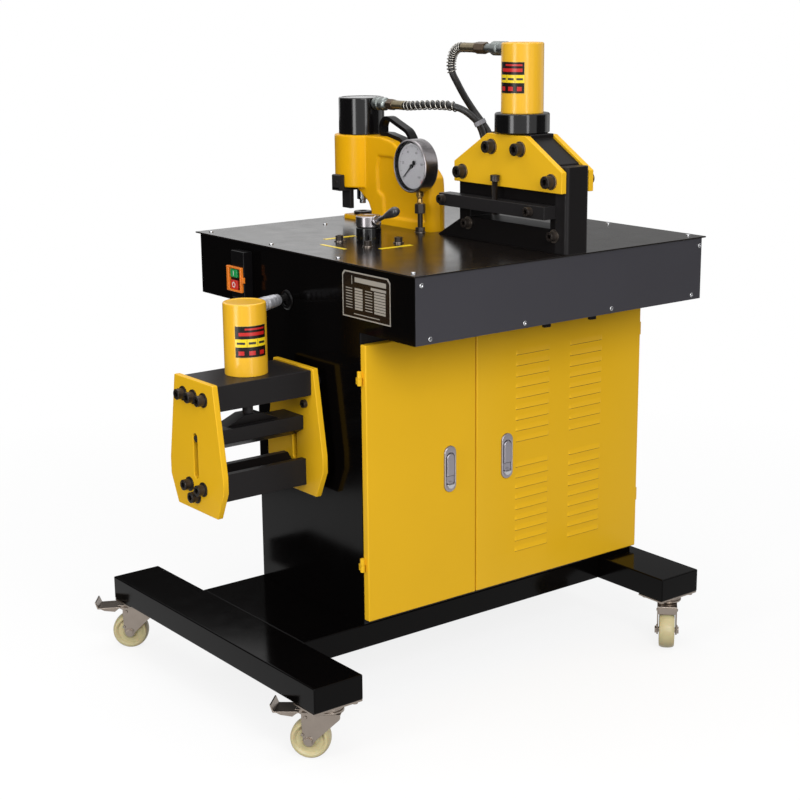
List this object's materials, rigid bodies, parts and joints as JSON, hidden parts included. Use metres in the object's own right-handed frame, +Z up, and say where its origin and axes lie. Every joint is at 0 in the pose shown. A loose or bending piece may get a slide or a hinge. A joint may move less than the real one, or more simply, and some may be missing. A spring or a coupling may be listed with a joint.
{
  "type": "busbar processing machine",
  "caption": "Wheeled cabinet with a busbar shear and punch on its table, a side-mounted bender, pressure gauge, selector valve and hydraulic hoses.",
  "frame": {"origin": "middle of the footprint of the whole machine, on the floor under the casters", "axes": "+X along the doors from the bender to the free end, +Y from the doors to the back, +Z up"},
  "size_m": [1.039, 0.813, 1.255],
  "materials": {
    "yellow_enamel": "glossy enamel",
    "black_gloss": "gloss",
    "black_satin": "satin",
    "bright_steel": "polished",
    "zinc_plate": "zinc plated",
    "cast_zinc": "die cast",
    "black_oxide": "black oxide",
    "brass": "plated",
    "rubber": "smooth",
    "nylon": "moulded",
    "orange_plastic": "moulded",
    "green_plastic": "moulded",
    "red_plastic": "moulded"
  },
  "bodies": {
    "machine": {"base_frame": "black_gloss", "left_side_panel": "black_gloss", "cabinet_body": "black_satin", "table_top": "black_gloss", "table_skirt": "black_satin", "switch_box": "black_satin", "switch_cover": "orange_plastic", "punch_frame": "yellow_enamel", "punch_cylinder": "black_gloss", "punch_stripper": "black_oxide", "punch_die": "black_oxide", "carry_handle": "black_satin", "valve_body": "black_oxide", "gauge_case": "bright_steel", "gauge_stem": "brass", "cutter_body": "black_satin", "cutter_plate_left": "yellow_enamel", "cutter_plate_right": "yellow_enamel", "cutter_cylinder": "yellow_enamel", "cutter_collar": "black_gloss", "hold_down_bar": "black_satin", "bender_plate_outer": "yellow_enamel", "bender_plate_inner": "yellow_enamel", "bender_beam": "black_satin", "bender_cylinder": "yellow_enamel", "bender_die": "black_satin", "cutter_hose": "rubber", "punch_hose": "rubber", "cutter_spring": "zinc_plate", "punch_spring": "zinc_plate", "cutter_coupling": "zinc_plate", "punch_coupling": "zinc_plate", "bender_coupling": "zinc_plate", "oil_tank": "black_satin", "pump_motor": "black_gloss"},
    "left_door": {"left_door": "yellow_enamel", "left_latch_plate": "cast_zinc"},
    "right_door": {"right_door": "yellow_enamel", "right_latch_plate": "cast_zinc"},
    "left_paddle": {"left_latch_paddle": "cast_zinc"},
    "right_paddle": {"right_latch_paddle": "cast_zinc"},
    "swivel_front_left": {"caster_fork_front_left": "zinc_plate"},
    "swivel_rear_left": {"caster_fork_rear_left": "zinc_plate"},
    "swivel_front_right": {"caster_fork_front_right": "zinc_plate"},
    "swivel_rear_right": {"caster_fork_rear_right": "zinc_plate"},
    "wheel_front_left": {"caster_wheel_front_left": "nylon"},
    "wheel_rear_left": {"caster_wheel_rear_left": "nylon"},
    "wheel_front_right": {"caster_wheel_front_right": "nylon"},
    "wheel_rear_right": {"caster_wheel_rear_right": "nylon"},
    "pedal_front_left": {"brake_pedal_front_left": "zinc_plate"},
    "pedal_rear_left": {"brake_pedal_rear_left": "zinc_plate"},
    "punch_ram": {"punch_ram": "bright_steel"},
    "shear_blade": {"cutter_blade": "bright_steel"},
    "bender_ram": {"bender_punch": "black_satin"},
    "valve_lever": {"valve_lever": "bright_steel", "lever_grip": "rubber"},
    "gauge_needle": {"gauge_needle": "black_oxide"},
    "start_button": {"start_button": "green_plastic"},
    "stop_button": {"stop_button": "red_plastic"},
    "hold_down_screw": {"hold_down_screw": "black_oxide"}
  },
  "joints": [
    {"name": "left_door_hinge", "type": "hinge", "parent": "machine", "child": "left_door", "pos_m": [-0.2325, -0.19753, 0.441], "axis": [0, 0, -1], "range_deg": [0, 110]},
    {"name": "right_door_hinge", "type": "hinge", "parent": "machine", "child": "right_door", "pos_m": [0.5035, -0.19753, 0.441], "axis": [0, 0, 1], "range_deg": [0, 110]},
    {"name": "left_paddle_hinge", "type": "hinge", "parent": "left_door", "child": "left_paddle", "pos_m": [-0.026, -0.21273, 0.472], "axis": [-1, 0, 0], "range_deg": [0, 40], "stiffness_Nm_per_rad": 0.05, "springref_deg": -5.73},
    {"name": "right_paddle_hinge", "type": "hinge", "parent": "right_door", "child": "right_paddle", "pos_m": [0.122, -0.21273, 0.472], "axis": [-1, 0, 0], "range_deg": [0, 40], "stiffness_Nm_per_rad": 0.05, "springref_deg": -5.73},
    {"name": "swivel_front_left", "type": "hinge", "parent": "machine", "child": "swivel_front_left", "pos_m": [-0.424, -0.34883, 0.095], "axis": [0, 0, 1], "continuous": true},
    {"name": "swivel_rear_left", "type": "hinge", "parent": "machine", "child": "swivel_rear_left", "pos_m": [-0.424, 0.32517, 0.095], "axis": [0, 0, 1], "continuous": true},
    {"name": "swivel_front_right", "type": "hinge", "parent": "machine", "child": "swivel_front_right", "pos_m": [0.455, -0.34883, 0.095], "axis": [0, 0, 1], "continuous": true},
    {"name": "swivel_rear_right", "type": "hinge", "parent": "machine", "child": "swivel_rear_right", "pos_m": [0.455, 0.32517, 0.095], "axis": [0, 0, 1], "continuous": true},
    {"name": "wheel_front_left", "type": "hinge", "parent": "swivel_front_left", "child": "wheel_front_left", "pos_m": [-0.44651, -0.3247, 0.0375], "axis": [-0.7314, -0.682, 0], "continuous": true},
    {"name": "wheel_rear_left", "type": "hinge", "parent": "swivel_rear_left", "child": "wheel_rear_left", "pos_m": [-0.45001, 0.34549, 0.0375], "axis": [-0.6157, -0.788, 0], "continuous": true},
    {"name": "wheel_front_right", "type": "hinge", "parent": "swivel_front_right", "child": "wheel_front_right", "pos_m": [0.43126, -0.37175, 0.0375], "axis": [0.6947, -0.7193, 0], "continuous": true},
    {"name": "wheel_rear_right", "type": "hinge", "parent": "swivel_rear_right", "child": "wheel_rear_right", "pos_m": [0.43951, 0.29603, 0.0375], "axis": [0.8829, -0.4695, 0], "continuous": true},
    {"name": "pedal_front_left", "type": "hinge", "parent": "swivel_front_left", "child": "pedal_front_left", "pos_m": [-0.44992, -0.32104, 0.084], "axis": [-0.7314, -0.682, 0], "range_deg": [0, 12]},
    {"name": "pedal_rear_left", "type": "hinge", "parent": "swivel_rear_left", "child": "pedal_rear_left", "pos_m": [-0.45395, 0.34857, 0.084], "axis": [-0.6157, -0.788, 0], "range_deg": [0, 12]},
    {"name": "punch_stroke", "type": "slide", "parent": "machine", "child": "punch_ram", "axis": [0, 0, -1], "range_m": [0, 0.02]},
    {"name": "shear_stroke", "type": "slide", "parent": "machine", "child": "shear_blade", "axis": [0, 0, -1], "range_m": [0, 0.03]},
    {"name": "bender_stroke", "type": "slide", "parent": "machine", "child": "bender_ram", "axis": [0, 0, -1], "range_m": [0, 0.05]},
    {"name": "valve_selector", "type": "hinge", "parent": "machine", "child": "valve_lever", "pos_m": [-0.0455, 0.02117, 0.909], "axis": [0, 0, -1], "range_deg": [0, 180]},
    {"name": "gauge_reading", "type": "hinge", "parent": "machine", "child": "gauge_needle", "pos_m": [0.0981, 0.06417, 1.002], "axis": [1, 0, 0], "range_deg": [0, 270]},
    {"name": "start_push", "type": "slide", "parent": "machine", "child": "start_button", "axis": [1, 0, 0], "range_m": [0, 0.0025], "stiffness_N_per_m": 400, "springref_m": -0.003},
    {"name": "stop_push", "type": "slide", "parent": "machine", "child": "stop_button", "axis": [1, 0, 0], "range_m": [0, 0.0025], "stiffness_N_per_m": 400, "springref_m": -0.003},
    {"name": "hold_down_travel", "type": "slide", "parent": "machine", "child": "hold_down_screw", "axis": [0, 0, -1], "range_m": [0, 0.008]}
  ]
}
